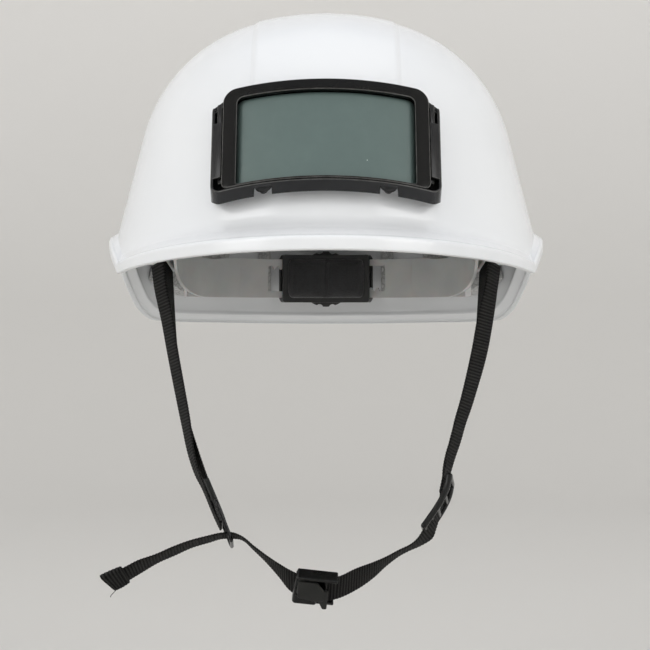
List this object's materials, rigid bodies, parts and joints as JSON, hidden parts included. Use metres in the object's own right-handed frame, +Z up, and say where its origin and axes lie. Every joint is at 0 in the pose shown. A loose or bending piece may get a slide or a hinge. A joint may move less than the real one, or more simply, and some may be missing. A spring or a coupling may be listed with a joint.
{
  "type": "hard hat",
  "caption": "Short-brim industrial safety helmet: drawn dome with rolled lip, sliding smoked card window on the front, foam liner, clip-in suspension, ratchet headband and webbing chin strap",
  "frame": {"origin": "centre of the head opening, on the plane of the headband's lower edge in front", "axes": "+Z up along the wearer's spine, brim towards -Y, +X towards the wearer's left ear"},
  "size_m": [0.2244, 0.2852, 0.3041],
  "materials": {
    "shell_white": "high-gloss injection-moulded ABS, white with a slight cool cast",
    "liner_foam": "moulded expanded-bead foam, faint bead pattern",
    "natural_plastic": "satin off-white polyethylene mouldings",
    "dark_plastic": "fine-textured dark plastic",
    "module_black": "satin black plastic with a fine spark texture",
    "smoked_pane": "smoked grey-green polycarbonate, near opaque",
    "seal_rubber": "soft black elastomer",
    "sweat_fabric": "brushed knit over foam",
    "webbing": "black ribbed polyester webbing",
    "steel": "zinc-plated steel",
    "steel_black": "black-finished steel"
  },
  "bodies": {
    "helmet": {"shell": "shell_white", "impact_liner": "liner_foam", "crown_hammock": "natural_plastic", "headband": "natural_plastic", "sweatband": "sweat_fabric", "adjuster_housing": "natural_plastic", "adjuster_cover": "dark_plastic", "nape_pad": "sweat_fabric", "window_tray": "module_black", "tray_pad": "seal_rubber", "tray_screws": "steel_black", "tray_nuts": "steel", "strap_ring": "steel_black", "chin_strap_left": "webbing", "chin_strap_right": "webbing", "strap_end_hem": "webbing", "buckle_frame": "module_black", "buckle_pin": "steel", "suspension_clip_front_left": "natural_plastic", "suspension_clip_front_right": "natural_plastic", "suspension_clip_temple_left": "natural_plastic", "suspension_clip_temple_right": "natural_plastic", "suspension_clip_ear_left": "natural_plastic", "suspension_clip_ear_right": "natural_plastic", "suspension_clip_rear_left": "natural_plastic", "suspension_clip_rear_right": "natural_plastic", "ear_strap_front_left": "webbing", "ear_strap_rear_left": "webbing", "jaw_slider_left": "module_black", "ear_strap_front_right": "webbing", "ear_strap_rear_right": "webbing", "jaw_slider_right": "module_black"},
    "knob": {"adjuster_knob": "dark_plastic", "adjuster_knob_screw": "steel", "adjuster_pinion": "natural_plastic"},
    "rack_left": {"adjuster_rack_left": "natural_plastic"},
    "rack_right": {"adjuster_rack_right": "natural_plastic"},
    "cassette": {"window_bezel": "module_black", "window_pane": "smoked_pane"},
    "lever": {"buckle_lever": "module_black"}
  },
  "joints": [
    {"name": "knob_turn", "type": "hinge", "parent": "helmet", "child": "knob", "pos_m": [0, 0.11, -0.012], "axis": [0, 1, 0], "range_deg": [0, 240]},
    {"name": "rack_left_turn", "type": "hinge", "parent": "helmet", "child": "rack_left", "pos_m": [0, 0.02, -0.012], "axis": [0, 0, -1], "range_deg": [0, 18]},
    {"name": "rack_right_turn", "type": "hinge", "parent": "helmet", "child": "rack_right", "pos_m": [0, 0.02, -0.012], "axis": [0, 0, 1], "range_deg": [0, 18]},
    {"name": "cassette_slide", "type": "slide", "parent": "helmet", "child": "cassette", "axis": [0, 0.4067, 0.9135], "range_m": [0, 0.04]},
    {"name": "buckle_lever_turn", "type": "hinge", "parent": "helmet", "child": "lever", "pos_m": [-0.01269, -0.08071, -0.16716], "axis": [-0.0523, 0.601, -0.7975], "range_deg": [0, 75]}
  ],
  "couplings": [
    {"joint": "rack_left_turn", "follows": "knob_turn", "ratio": 0.07335},
    {"joint": "rack_right_turn", "follows": "knob_turn", "ratio": 0.071599}
  ]
}
